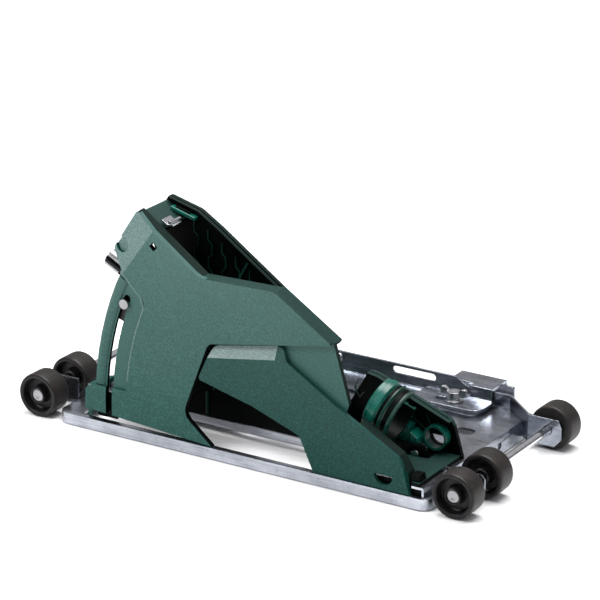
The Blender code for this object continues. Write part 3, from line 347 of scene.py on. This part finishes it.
def dressed(node, look, width=0.5, segments=2, smooth=40.0, shape=None, zones=()):
    """A copy of a CAD solid with rounded edges. shape(work) may bend it; zones are (look, test) pairs,
    where test(centre, normal) picks the faces, in sled millimetres, that take another look."""
    mesh = NODES[node].data.copy()
    mesh.materials.clear()
    work = bmesh.new()
    work.from_mesh(mesh)
    bmesh.ops.remove_doubles(work, verts=work.verts, dist=0.004 * MM)
    bmesh.ops.dissolve_limit(work, angle_limit=radians(0.6), verts=work.verts, edges=work.edges)
    if shape:
        shape(work)
    work.normal_update()
    for face in work.faces:
        centre = sled_place(face.calc_center_median())
        for index, (_, test) in enumerate(zones, 1):
            if test(centre, face.normal):
                face.material_index = index
    work.to_mesh(mesh)
    work.free()
    piece = link_piece(node + "_skin", mesh, look, BODY[node], [node], [zone[0] for zone in zones])
    if width:
        soften(piece, width, segments)
    mesh.shade_smooth()
    mesh.set_sharp_from_angle(angle=radians(smooth))


def fold(work, line, fall, facing=1.0, reach=None, stops=()):
    """Bends the near wall back, in Y, on one side of a line through two XZ points, up to the stops in X."""
    (x0, z0), (x1, z1) = line
    along = Vector((x1 - x0, z1 - z0)).normalized()
    away = Vector((along.y, -along.x)) * facing
    cuts = [(place(x0, 0.0, z0), (away.x, 0.0, away.y))]
    cuts += [(place(x, 0.0, 0.0), (1.0, 0.0, 0.0)) for x in stops]
    for spot, normal in cuts:
        geometry = [*work.verts, *work.edges, *work.faces]
        bmesh.ops.bisect_plane(work, geom=geometry, dist=1e-7, plane_co=spot, plane_no=normal)
    for vert in work.verts:
        spot = sled_place(vert.co)
        past = (spot.x - x0) * away.x + (spot.z - z0) * away.y
        if past > 0.01 and spot.y < NEAR_WALL_END and (reach is None or reach(spot)):
            vert.co.y += past * fall * MM


def finish_piece(work, name, look, body, smooth, nodes=(), looks=(), width=0.0):
    """Links what was modelled as a piece, shaded sharp where faces meet at more than smooth degrees."""
    bmesh.ops.recalc_face_normals(work, faces=work.faces)
    mesh = bpy.data.meshes.new(name)
    work.to_mesh(mesh)
    work.free()
    piece = link_piece(name, mesh, look, body, nodes, looks)
    if width:
        soften(piece, width)
    mesh.shade_smooth()
    mesh.set_sharp_from_angle(angle=radians(smooth))


def prism(name, outline, y0, y1, look, body, width=0.35):
    """A sheet with an outline of XZ points, between two depths."""
    work = bmesh.new()
    rings = [[work.verts.new(place(x, depth, z)) for x, z in outline] for depth in (y0, y1)]
    work.faces.new(rings[0])
    work.faces.new(rings[1][::-1])
    count = len(outline)
    for i in range(count):
        j = (i + 1) % count
        work.faces.new([rings[0][i], rings[1][i], rings[1][j], rings[0][j]])
    finish_piece(work, name, look, body, 35.0, width=width)


def lathe(name, profile, origin, along, look, body, nodes, sides, smooth, zones=(), sweep=None):
    """A closed profile of (radius, distance) points turned about an axis, all round or over a sweep of
    angles in degrees. zones are (look, first, last) rows of the profile that take another look."""
    along = Vector(along).normalized()
    side = Vector((0.0, -1.0, 0.0)) if abs(along.y) < 0.5 else Vector((0.0, 0.0, 1.0))
    up = side.cross(along) if sweep else along.cross(side)
    first, last = (radians(a) for a in sweep) if sweep else (0.0, 2 * pi)
    steps = sides if sweep else sides - 1
    work = bmesh.new()
    rings = []
    for r, t in profile:
        centre = Vector(origin) + along * t
        if r < 1e-6:
            rings.append([work.verts.new(place(*centre))])
            continue
        spots = []
        for i in range(steps + 1):
            turn = first + (last - first) * i / sides
            spots.append(work.verts.new(place(*(centre + side * (r * cos(turn)) + up * (r * sin(turn))))))
        rings.append(spots)
    for index, (a, b) in enumerate(zip(rings, rings[1:] + rings[:1])):
        if len(a) == 1 and len(b) == 1:
            continue
        zone = next((n for n, (_, start, end) in enumerate(zones, 1) if start <= index <= end), 0)
        for i in range(sides):
            j = i + 1 if sweep else (i + 1) % sides
            if len(a) == 1:
                corners = [a[0], b[j], b[i]]
            elif len(b) == 1:
                corners = [a[i], a[j], b[0]]
            else:
                corners = [a[i], a[j], b[j], b[i]]
            work.faces.new(corners).material_index = zone
    if sweep:
        work.faces.new([ring[0] for ring in rings])
        work.faces.new([ring[-1] for ring in rings][::-1])
    finish_piece(work, name, look, body, smooth, nodes, [zone[0] for zone in zones])


def crosswise(path, i):
    """The unit vector square to a path of XZ points, at point i."""
    here = Vector(path[i])
    ahead = Vector(path[min(i + 1, len(path) - 1)]) - here
    behind = here - Vector(path[max(i - 1, 0)])
    way = (ahead.normalized() + behind.normalized()).normalized()
    return Vector((-way.y, way.x))


def strip(path, width):
    """The outline of a strip of even width along a path of XZ points, centred on it."""
    left, right = [], []
    for i, (x, z) in enumerate(path):
        across = crosswise(path, i) * (width / 2)
        left.append((x + across.x, z + across.y))
        right.append((x - across.x, z - across.y))
    return left + right[::-1]


def bead(name, path, y, half, height, look, body, sides=8):
    """A half-round bead along a path of XZ points, standing out from y towards the near side."""
    work = bmesh.new()
    rows = []
    for i, (x, z) in enumerate(path):
        across = crosswise(path, i)
        row = []
        for k in range(sides + 1):
            turn = pi * k / sides
            off = across * (half * cos(turn))
            row.append(work.verts.new(place(x + off.x, y - height * sin(turn), z + off.y)))
        rows.append(row)
    for a, b in zip(rows, rows[1:]):
        for k in range(sides):
            work.faces.new([a[k], a[k + 1], b[k + 1], b[k]])
        work.faces.new([a[-1], a[0], b[0], b[-1]])
    work.faces.new(rows[0])
    work.faces.new(rows[-1][::-1])
    finish_piece(work, name, look, body, 50.0)


def arc(radius, start, end, step=2.0):
    """Points of an arc about the hood's pivot, angles in degrees."""
    count = max(2, round(abs(end - start) / step))
    turns = [radians(start + (end - start) * i / count) for i in range(count + 1)]
    return [(PIVOT[0] + radius * cos(t), PIVOT[1] + radius * sin(t)) for t in turns]


def angle_at(radius, z):
    """The angle about the pivot, in front of it, where an arc of that radius is at height z."""
    return 180.0 - degrees(atan2(z - PIVOT[1], sqrt(radius**2 - (z - PIVOT[1]) ** 2)))


# ---------------------------------------------------------------- hood


def from_pivot(spot):
    return sqrt((spot.x - PIVOT[0]) ** 2 + (spot.z - PIVOT[1]) ** 2)


def close_to(centre, spot, reach):
    """Whether a face's centre is within reach of an XZ point, seen from the side."""
    return (Vector((centre.x, centre.z)) - Vector(spot)).length < reach


def round_boss_corner(work):
    """Rounds the boss's upright front corner, which is cylindrical."""
    edges = []
    for edge in work.edges:
        ends = [sled_place(vert.co) for vert in edge.verts]
        upright = abs(ends[0].z - ends[1].z) > 8.0
        if upright and all(e.x < -277.0 and e.y < 1.2 for e in ends):
            edges.append(edge)
    if edges:
        bmesh.ops.bevel(work, geom=edges, offset=5.0 * MM, segments=6, profile=0.5, affect="EDGES")


def shape_near_shell(work):
    fold(work, CREASE, FACET_FALL, 1.0, lambda spot: spot.x < -200.0)
    round_boss_corner(work)


def past_crease(spot):
    (x0, z0), (x1, z1) = CREASE
    along = Vector((x1 - x0, z1 - z0)).normalized()
    return (spot.x - x0) * along.y - (spot.z - z0) * along.x


def build_hood():
    wall_end = HOOD_NEAR_Y + HOOD_WALL
    slot_start, slot_end = SLOT_RADII
    # the zones paint light and shade into the one hood green: inner faces, hole and slot walls and undersides
    # take a near-black painted shade, the nose hole a dark painted shade, rims and ledges a darker painted
    # shade, and the nose facet a paler painted light
    dressed(
        "hood_near_shell", "shell", 0.7, 3, 40.0, shape_near_shell,
        [
            ("inner", lambda c, n: n.y > 0.6),
            ("deep", lambda c, n: close_to(c, NOSE_HOLE, 5.6) and 2.0 < c.y < 9.0),
            ("inner", lambda c, n: slot_start < from_pivot(c) < slot_end and abs(n.y) < 0.5 and c.z < 110.0),
            ("inner", lambda c, n: close_to(c, PEG_HOLE, 3.4) and abs(n.y) < 0.6),
            ("rim", lambda c, n: c.y > wall_end and n.z > 0.3 and -240.0 < c.x < -181.0),
            ("facet", lambda c, n: n.y < -0.6 and past_crease(c) > 0.5 and c.x < -225.0 and c.z > 112.0),
            ("inner", lambda c, n: c.y > wall_end and n.z < -0.2),
            ("inner", lambda c, n: n.x > 0.4 and abs(n.y) < 0.6 and -203.0 < c.x < -176.0 and c.z < 80.0),
            ("rim", lambda c, n: n.x > 0.4 and abs(n.y) < 0.6 and c.x > -92.0 and c.z > 57.0),
            ("ledge", lambda c, n: c.y > 2.0 and n.z > 0.3 and c.x > -181.0 and c.z > 95.0),
        ],
    )
    # the recess's rounded outline round the slot, in the paler green as a painted highlight
    outline = [(-248.0, 116.0), (-232.6, 101.0), (-231.6, 97.0)]
    outline += arc(RECESS_R, 157.2, angle_at(RECESS_R, 40.0), 2.0)
    bead("hood_recess_edge", outline, HOOD_NEAR_Y + 0.05, 0.45, 0.14, "facet", "hood")
    # the rounded front edge beside the slot
    edge = arc(FRONT_BEAD_R, angle_at(FRONT_BEAD_R, 34.2), angle_at(FRONT_BEAD_R, 111.0), 1.5)
    bead("hood_front_bead", edge, 2.55, 3.7, 1.55, "shell", "hood")
    # the inside of the boss, seen through the slot's lower end: a sheet in near-black painted shade
    boss_back = [(-272.0, 9.2), (-256.0, 9.2), (-253.5, 27.0), (-270.0, 27.0)]
    prism("hood_boss_back", boss_back, 6.0, 7.0, "inner", "hood", 0.2)
    # the boss's rounded ledge, in the paler green as a painted highlight
    bead("hood_ledge_lip", [(-276.0, 31.6), (-268.0, 31.2), (-262.0, 31.6)], 1.3, 0.8, 0.28, "facet", "hood")
    # the far shell is in the near-black painted shade, its rims and ledges in darker painted shade; only its
    # outer face keeps the hood green
    dressed(
        "hood_far_shell", "inner", 0.5, 2, 40.0, None,
        [
            ("rim", lambda c, n: n.z > 0.35 and c.z > 100.0 and c.y > 36.0),
            ("ledge", lambda c, n: n.z > 0.2 and c.y < 36.0 and c.z > 140.0),
            ("shell", lambda c, n: n.y > 0.8),
        ],
    )
    build_hood_ribs()
    # the gusset inside the nose, in painted light, with its pocket in near-black painted shade
    gusset = strip([(-230.5, 153.6), (-211.5, 148.4)], 2.4)
    prism("nose_gusset", gusset, 33.6, 38.0, "lit", "hood", 0.6)
    pocket = strip([(-227.0, 154.2), (-216.0, 151.2)], 1.4)
    prism("nose_gusset_pocket", pocket, 34.8, 36.8, "inner", "hood", 0.2)


def build_hood_ribs():
    """The fine ribs moulded on the inner face of the far wall."""
    inner = HOOD_INNER_Y
    for column in range(9):
        x = -216.0 + 10.6 * column
        top = min(150.0, 150.0 - max(0.0, x + 212.0) * 0.68) - 5.0
        path, z, side = [], top, 0
        while z > 36.0:
            path += [(x + 3.0 * side, z), (x + 3.0 * side, z - 6.5)]
            z -= 9.5
            side = 1 - side
        prism(f"hood_rib_{column}", strip(path, 0.55), inner - 0.8, inner + 0.1, "line", "hood", 0.0)
    stay = strip([(-174.0, 125.0), (-183.5, 108.0)], 1.2)
    prism("hood_stay", stay, inner - 1.6, inner + 0.1, "line", "hood", 0.2)
    post = strip([(-207.2, 28.0), (-207.2, 12.5)], 1.2)
    prism("hood_post", post, inner - 2.0, inner + 0.1, "line", "hood", 0.2)


# ---------------------------------------------------------------- leg panel and rear housing


def shape_panel(work):
    """Leans the panel's upper edge back in a broad chamfer."""
    stops = (PANEL_FOLD_END,)
    fold(work, PANEL_FOLD, PANEL_FALL, -1.0, lambda s: s.x < PANEL_FOLD_END + 1.0 and s.z > 60.0, stops)


def build_leg_panel():
    (x0, z0), (x1, z1) = PANEL_FOLD
    slope = (z1 - z0) / (x1 - x0)

    def on_chamfer(c, n):
        above = c.z - z0 - (c.x - x0) * slope
        return n.y < -0.5 and above > 0.3 and c.x < PANEL_FOLD_END - 0.5

    # the panel's green is darker than the hood's, as painted shade; its inner faces take the near-black
    # painted shade, its end rims a darker painted shade, and its leaned chamfer a pale painted highlight
    dressed(
        "leg_panel", "panel", 0.7, 3, 25.0, shape_panel,
        [
            ("inner", lambda c, n: n.y > 0.6),
            ("glint", on_chamfer),
            ("rim", lambda c, n: c.y > 3.9 and n.y > -0.6 and c.x > -72.0),
        ],
    )


def build_rear_housing():
    # the housing is in the near-black painted shade, its outer far face in the panel's painted-shade green,
    # its top faces in a darker painted shade and its boss in painted light
    dressed(
        "rear_housing", "inner", 0.5, 2, 40.0, None,
        [
            ("panel", lambda c, n: n.y > 0.8 and c.y > 57.5),
            ("ledge", lambda c, n: n.z > 0.3 and c.z > 36.0),
            ("ledge", lambda c, n: n.z > 0.7 and c.z < 20.0),
            ("lit", lambda c, n: close_to(c, HOUSING_BOSS, 9.5) and c.y < 53.5),
        ],
    )
    y = HOUSING_INNER_Y
    body = BODY["rear_housing"]
    ribs = (
        [(-100.0, 54.0), (-103.0, 48.0), (-99.0, 42.0), (-96.0, 46.0)],
        [(-60.0, 43.0), (-64.0, 39.0), (-50.0, 30.0)],
        [(-50.0, 41.0), (-46.0, 33.0)],
    )
    for number, path in enumerate(ribs):
        prism(f"housing_rib_{number}", strip(path, 0.7), y - 1.0, y + 0.1, "line", body, 0.0)
    # lit webs under the socket
    web = [(-66.0, 17.2), (-57.5, 17.2), (-57.5, 33.0), (-66.0, 37.0)]
    prism("housing_web_1", web, y - 9.0, y + 0.1, "lit", body, 0.6)
    web = [(-56.0, 17.2), (-49.5, 17.2), (-50.5, 27.0), (-56.0, 31.0)]
    prism("housing_web_2", web, y - 11.0, y + 0.1, "lit", body, 0.6)


def build_dark_edges():
    """Pieces in the near-black painted shade: the inner edge beside the leg panel's end, and a sheet behind
    its half-round hole that stands in for the shade seen through it.
    """
    body = BODY["rear_housing"]
    edge = [(-31.4, 8.9), (-23.5, 8.9), (-26.0, 21.5), (-32.0, 21.5)]
    prism("panel_inner_edge", edge, 4.4, 12.5, "inner", body, 0.4)
    back = [(-57.5, 9.2), (-45.5, 9.2), (-45.5, 15.0), (-57.5, 15.0)]
    prism("half_hole_back", back, 5.2, 6.2, "inner", body, 0.2)


def build_socket():
    """The suction socket: a ribbed tube that is open at its far upper side, on a web."""
    tilt = radians(SOCKET_TILT)
    along = Vector((cos(tilt), 0.0, -sin(tilt)))
    start = SOCKET_MIDDLE - along * (SOCKET_LENGTH / 2)
    r = SOCKET_R
    profile = [(r - 0.6, 0.0), (r, 0.6), (r, 3.0), (r + 0.9, 3.6), (r + 1.0, 5.4), (r + 0.9, 7.2), (r, 7.8)]
    profile += [(r - 0.7, 8.6), (r - 0.7, 10.2), (r, 11.0), (r + 1.0, 11.3), (r + 1.0, 12.3), (r, 12.6)]
    profile += [(r - 0.7, 13.4), (r - 0.7, 16.2), (r, 17.0), (r + 1.0, 17.3), (r + 1.0, 18.4)]
    profile += [(r, SOCKET_LENGTH), (r - SOCKET_WALL, SOCKET_LENGTH), (r - SOCKET_WALL, 0.0)]
    # the tube is in the darkened rib green, its first ring in painted light, and its grooves, far end and
    # inside in near-black painted shade
    lathe(
        "socket_tube", profile, start, along, "line", BODY["suction_socket"], ["suction_socket"], 84, 28.0,
        [("lit", 0, 6), ("inner", 7, 9), ("inner", 13, 15), ("inner", 19, 30)], (-180.0, 105.0),
    )
    # the web, in near-black painted shade
    web = [(-70.0, 36.0), (-62.5, 36.0), (-62.5, 46.0), (-70.0, 46.0)]
    prism("socket_web", web, 46.5, 55.1, "inner", BODY["suction_socket"], 0.3)


# ---------------------------------------------------------------- wheels


def build_wheel(node):
    """A moulded wheel with a rounded tread, a deep dish on its outer side and a hub cup."""
    low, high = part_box(node)
    low, high = sled_place(Vector(low)), sled_place(Vector(high))
    middle = (low + high) / 2
    width = high.y - low.y
    near_side = not node.endswith("_far")
    out = -1.0 if near_side else 1.0
    face = low.y if near_side else high.y
    r, hub = WHEEL_R, 5.6
    profile = [(hub - 1.2, 0.35), (hub - 0.5, 0.0), (hub, 0.5), (hub + 0.3, 5.8), (hub + 1.0, 6.6)]
    profile += [(r - 4.6, 6.6), (r - 3.9, 5.9), (r - 3.2, 1.1), (r - 2.6, 0.35), (r - 1.4, 0.12)]
    tread = len(profile)
    profile += [(r - 0.5, 0.5), (r - 0.08, 1.4), (r, 2.6)]
    profile += [(r, width - 2.6), (r - 0.08, width - 1.4), (r - 0.5, width - 0.5)]
    end = len(profile)
    profile += [(r - 1.4, width - 0.1), (hub + 2.0, width - 0.1), (hub + 1.6, width)]
    profile += [(3.4, width), (3.4, 1.6), (hub - 1.6, 1.6)]
    lathe(
        node + "_turned", profile, (middle.x, face, middle.z), (0, -out, 0), "wheel", BODY[node],
        [node], 96, 30.0, [("tread", tread, end - 1)],
    )


def build_axle_end(node):
    """A domed, slightly dished axle cap."""
    low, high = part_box(node)
    low, high = sled_place(Vector(low)), sled_place(Vector(high))
    middle = (low + high) / 2
    near_side = node.endswith("_near")
    out = -1.0 if near_side else 1.0
    inner_face = high.y if near_side else low.y
    length, r = high.y - low.y, (high.z - low.z) / 2
    profile = [(0.0, 0.0), (0.0, length - 0.35), (r * 0.38, length - 0.3), (r * 0.5, length)]
    profile += [(r * 0.72, length - 0.05), (r * 0.93, length * 0.7), (r, length * 0.45), (r, 0.0)]
    start = (middle.x, inner_face, middle.z)
    lathe(node + "_turned", profile, start, (0, out, 0), "dull", BODY[node], [node], 48, 40.0)


# ---------------------------------------------------------------- all pieces

build_hood()
build_leg_panel()
build_rear_housing()
build_socket()
build_dark_edges()
for node in [n for n in NODES if n.startswith("wheel_")]:
    build_wheel(node)
for node in [n for n in NODES if n.startswith("axle_cap_")]:
    build_axle_end(node)
# faces turned to the rear take the darker rail zinc as painted shade; the side rail is all in that painted
# shade except its top faces
for node in ("skid_frame", "deck_plate", "guide_bracket"):
    dressed(node, "zinc", 0.35, zones=[("rail", lambda c, n: n.x > 0.7)])
dressed("side_rail", "rail", 0.35, zones=[("zinc", lambda c, n: n.z > 0.5)])
for node in ("lock_sleeve", "depth_stop_block", "depth_stop_knob"):
    dressed(node, "black", 0.4)
# the lock pin's faces turned to the near side take near-black steel: a painted dark reflection band
painted_dark_band = ("painted_reflection", lambda c, n: n.y < 0.0 and -0.25 < n.z < 0.4 and n.x > -0.8)
dressed("lock_pin", "dull", 0.3, zones=[painted_dark_band])
dressed("depth_stop_bolt", "dull", 0.25)
for node in (
    "axle_front", "axle_rear", "collar_screw", "grinder_collar", "nose_clip", "pivot_pin", "rail_rivet_1",
    "rail_rivet_2", "rail_rivet_3", "screw_washer", "shell_screw_1", "shell_screw_2", "wing_screw",
):
    dressed(node, "steel", 0.25)

# ---------------------------------------------------------------- floor, light and camera


def build_stage():
    bpy.ops.mesh.primitive_plane_add(size=14.0, location=(0.0, 0.0, -0.0002))
    floor = bpy.context.object
    floor.name = "floor"
    s = Shader("pale floor", (0.94, 0.94, 0.945), 0.6)
    s.main.inputs["Specular IOR Level"].default_value = 0.2
    floor.data.materials.append(s.material)


def softbox(name, where, target, size, power):
    lamp = bpy.data.lights.new(name, "AREA")
    lamp.shape = "RECTANGLE"
    lamp.size, lamp.size_y = size
    lamp.energy = power
    obj = bpy.data.objects.new(name, lamp)
    obj.location = where
    obj.rotation_euler = (Vector(target) - Vector(where)).to_track_quat("-Z", "Y").to_euler()
    bpy.context.scene.collection.objects.link(obj)


def build_light():
    world = bpy.data.worlds.new("studio")
    world.use_nodes = True
    tree = world.node_tree
    tree.nodes["Background"].inputs["Strength"].default_value = 0.6
    # a pale ceiling over a darker surround, so that the metal has something to reflect
    split = tree.nodes.new("ShaderNodeSeparateXYZ")
    tree.links.new(tree.nodes.new("ShaderNodeTexCoord").outputs["Generated"], split.inputs["Vector"])
    fade = tree.nodes.new("ShaderNodeValToRGB")
    elements = fade.color_ramp.elements
    elements[0].position, elements[0].color = 0.08, (0.10, 0.10, 0.11, 1.0)
    elements[1].position, elements[1].color = 0.55, (0.85, 0.85, 0.87, 1.0)
    tree.links.new(split.outputs["Z"], fade.inputs["Fac"])
    tree.links.new(fade.outputs["Color"], tree.nodes["Background"].inputs["Color"])
    bpy.context.scene.world = world
    softbox("key", (-0.45, -0.58, 0.74), (-0.09, -0.08, 0.12), (0.42, 0.3), 6.4)
    softbox("top", (0.1, 0.3, 1.8), (0.0, 0.0, 0.0), (1.6, 1.2), 46.0)


def build_camera():
    lens = bpy.data.cameras.new("camera")
    lens.lens = LENS
    lens.sensor_width = 36.0
    camera = bpy.data.objects.new("camera", lens)
    camera.location = CAMERA_PLACE
    camera.rotation_euler = (radians(CAMERA_TILT), 0.0, radians(CAMERA_TURN))
    bpy.context.scene.collection.objects.link(camera)
    bpy.context.scene.camera = camera


build_stage()
build_light()
build_camera()
bpy.context.scene.view_settings.view_transform = "Standard"
